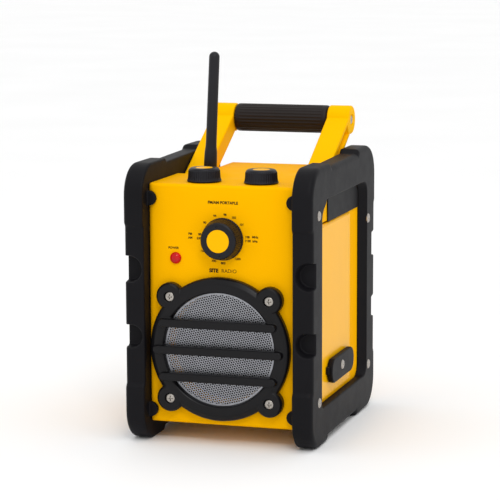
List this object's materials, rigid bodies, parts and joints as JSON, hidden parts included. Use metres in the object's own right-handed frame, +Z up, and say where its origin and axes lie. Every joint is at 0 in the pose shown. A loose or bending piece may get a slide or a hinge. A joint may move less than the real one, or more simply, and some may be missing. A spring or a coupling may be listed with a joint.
{
  "type": "portable site radio",
  "caption": "Rugged portable radio with rubber side guards, fold-back carrying handle, round speaker grille, rubber aerial, rotary controls and a hinged battery door.",
  "frame": {"origin": "centre of the overall box on the surface that the radio stands on", "axes": "+X to the user's right when facing the dial, +Y to the back, +Z up; the speaker faces -Y"},
  "size_m": [0.17, 0.216, 0.3347],
  "materials": {
    "yellow_case": "satin moulded",
    "yellow_handle": "satin moulded",
    "yellow_door": "glossy moulded",
    "yellow_cap": "glossy moulded",
    "guard_rubber": "satin",
    "whip_rubber": "satin",
    "grip_rubber": "ribbed matte",
    "grille_plastic": "satin",
    "black_plastic": "satin",
    "screw_steel": "nickel plated",
    "plain_steel": "plain",
    "mesh_metal": "perforated",
    "red_lens": "clear red",
    "board_green": "lacquered",
    "speaker_black": "matte"
  },
  "bodies": {
    "case": {"main_housing": "yellow_case", "front_cover": "yellow_case", "rear_cover": "yellow_case", "left_guard": "guard_rubber", "right_guard": "guard_rubber", "guard_screw_left_1": "screw_steel", "guard_screw_left_2": "screw_steel", "guard_screw_left_3": "screw_steel", "guard_screw_left_4": "screw_steel", "guard_screw_right_1": "screw_steel", "guard_screw_right_2": "screw_steel", "guard_screw_right_3": "screw_steel", "guard_screw_right_4": "screw_steel", "speaker_grille": "grille_plastic", "grille_screw_1": "screw_steel", "grille_screw_2": "screw_steel", "grille_screw_3": "screw_steel", "grille_screw_4": "screw_steel", "grille_mesh": "mesh_metal", "mesh_spacer": "grille_plastic", "speaker_frame": "speaker_black", "speaker_cone": "speaker_black", "speaker_magnet": "plain_steel", "power_lamp_holder": "black_plastic", "power_lamp_lens": "red_lens", "antenna_base": "black_plastic", "antenna_whip": "whip_rubber", "hinge_cover": "guard_rubber", "battery_tray": "black_plastic", "battery_contact_lower": "plain_steel", "battery_contact_upper": "plain_steel", "circuit_board": "board_green", "volume_control": "plain_steel", "band_switch": "plain_steel", "tuning_capacitor": "black_plastic", "ferrite_rod": "black_plastic", "mains_transformer": "plain_steel", "mains_inlet": "black_plastic", "line_in_jack": "black_plastic", "handle_pin_left": "plain_steel", "handle_pin_right": "plain_steel"},
    "handle": {"handle_arm_left": "yellow_handle", "handle_arm_right": "yellow_handle", "handle_grip": "grip_rubber", "handle_rod": "plain_steel", "handle_screw_left": "screw_steel", "handle_screw_right": "screw_steel"},
    "tuning_dial": {"tuning_knob": "black_plastic", "tuning_knob_cap": "yellow_cap"},
    "volume_dial": {"volume_knob": "black_plastic", "volume_knob_cap": "yellow_cap"},
    "band_dial": {"band_knob": "black_plastic", "band_knob_cap": "yellow_cap"},
    "door": {"battery_door": "yellow_door", "door_hinge_pin": "plain_steel", "door_latch": "guard_rubber"},
    "door_lock": {"latch_screw": "screw_steel", "latch_cam": "plain_steel"}
  },
  "joints": [
    {"name": "handle_fold", "type": "hinge", "parent": "case", "child": "handle", "pos_m": [0, -0.0045, 0.21], "axis": [1, 0, 0], "range_deg": [-30, 60]},
    {"name": "tuning_turn", "type": "hinge", "parent": "case", "child": "tuning_dial", "pos_m": [0.0012, -0.0925, 0.1792], "axis": [0, -1, 0], "range_deg": [-90, 90]},
    {"name": "volume_turn", "type": "hinge", "parent": "case", "child": "volume_dial", "pos_m": [-0.0226, -0.0705, 0.225], "axis": [0, 0, 1], "range_deg": [-150, 150]},
    {"name": "band_turn", "type": "hinge", "parent": "case", "child": "band_dial", "pos_m": [0.0286, -0.0705, 0.225], "axis": [0, 0, 1], "range_deg": [-45, 45]},
    {"name": "door_swing", "type": "hinge", "parent": "case", "child": "door", "pos_m": [0.074, -0.0098, 0.185], "axis": [0, -1, 0], "range_deg": [0, 75]},
    {"name": "lock_turn", "type": "hinge", "parent": "door", "child": "door_lock", "pos_m": [0.0735, -0.004, 0.0577], "axis": [1, 0, 0], "range_deg": [0, 90]}
  ]
}
